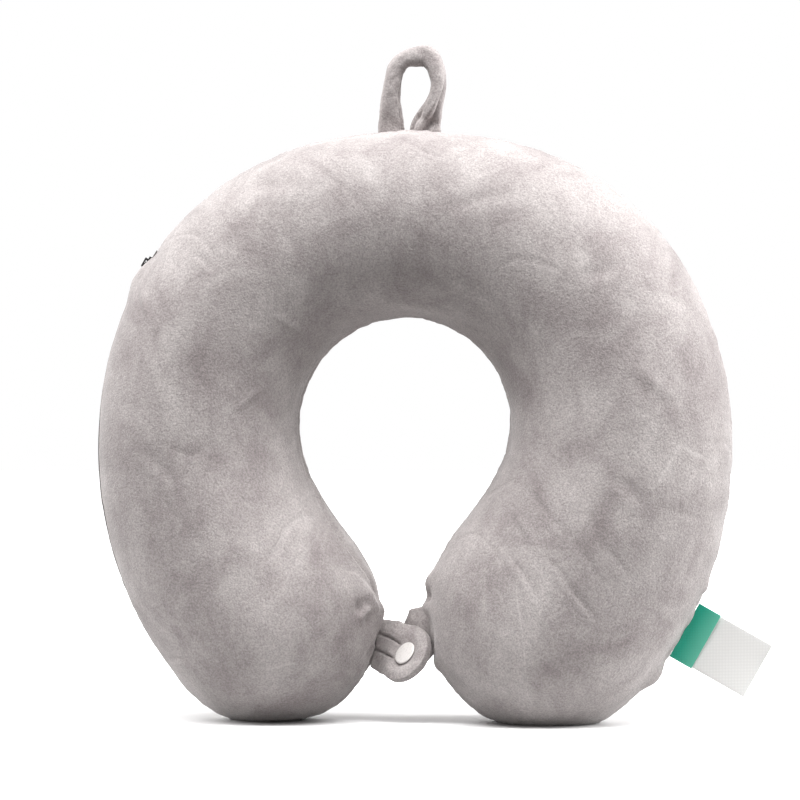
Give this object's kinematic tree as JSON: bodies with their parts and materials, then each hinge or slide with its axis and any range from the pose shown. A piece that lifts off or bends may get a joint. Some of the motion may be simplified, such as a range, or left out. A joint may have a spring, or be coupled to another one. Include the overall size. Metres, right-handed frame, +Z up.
{
  "type": "neck pillow",
  "caption": "U shaped travel neck pillow with a velour cover, zipped outer seam, press-stud closure tabs, hanging loop and sewn-in labels over a foam core.",
  "frame": {"origin": "on the floor in the seam plane, half way between the two outer edges, under the neck opening", "axes": "+Z up through the back-of-neck part, +X to the right seen from the front, front face towards -Y"},
  "size_m": [0.3176, 0.1, 0.3165],
  "materials": {
    "velour": "brushed short-pile velour, warm grey",
    "lining": "thin non-woven",
    "foam": "open-cell foam",
    "zip_tape": "woven tape",
    "zip_nylon": "nylon coil",
    "zip_metal": "dark painted zinc",
    "snap_plastic": "smooth off-white",
    "label_ribbon": "woven satin ribbon",
    "label_satin": "white printed-label satin, bare"
  },
  "bodies": {
    "pillow": {"cover_front_panel": "velour", "cover_back_panel": "velour", "inner_liner": "lining", "foam_core": "foam", "zip_tape_front": "zip_tape", "zip_tape_back": "zip_tape", "zip_coil_front": "zip_nylon", "zip_coil_back": "zip_nylon", "zip_top_stops": "zip_metal", "zip_bottom_stop": "zip_metal"},
    "zip_slider": {"zip_slider": "zip_metal"},
    "zip_pull": {"zip_pull_tab": "zip_metal"},
    "left_tab": {"left_closure_tab": "velour", "snap_cap": "snap_plastic", "snap_socket": "snap_plastic"},
    "right_tab": {"right_closure_tab": "velour", "snap_stud": "snap_plastic", "snap_back_cap": "snap_plastic"},
    "hanging_loop": {"hanging_loop": "velour"},
    "side_labels": {"short_label": "label_ribbon", "care_label": "label_satin"}
  },
  "joints": [
    {"name": "zip_travel", "type": "hinge", "parent": "pillow", "child": "zip_slider", "pos_m": [0.022, 0, 0.1275], "axis": [0, 1, 0], "range_deg": [-66, 0]},
    {"name": "zip_pull_swing", "type": "hinge", "parent": "zip_slider", "child": "zip_pull", "pos_m": [-0.1271, 0, 0.21533], "axis": [0, 1, 0], "range_deg": [0, 165]},
    {"name": "left_tab_fold", "type": "hinge", "parent": "pillow", "child": "left_tab", "pos_m": [-0.01368, 0, 0.0356], "axis": [-0.2419, 0, -0.9703], "range_deg": [0, 52]},
    {"name": "right_tab_fold", "type": "hinge", "parent": "pillow", "child": "right_tab", "pos_m": [0.00635, -0.00854, 0.03553], "axis": [0.3267, -0.4088, -0.8522], "range_deg": [0, 20]},
    {"name": "loop_fold", "type": "hinge", "parent": "pillow", "child": "hanging_loop", "pos_m": [0, 0, 0.2802], "axis": [1, 0, 0], "range_deg": [-80, 80]},
    {"name": "label_fold", "type": "hinge", "parent": "pillow", "child": "side_labels", "pos_m": [0.12939, 0, 0.04254], "axis": [-0.4894, 0, -0.8721], "range_deg": [-75, 75]}
  ]
}
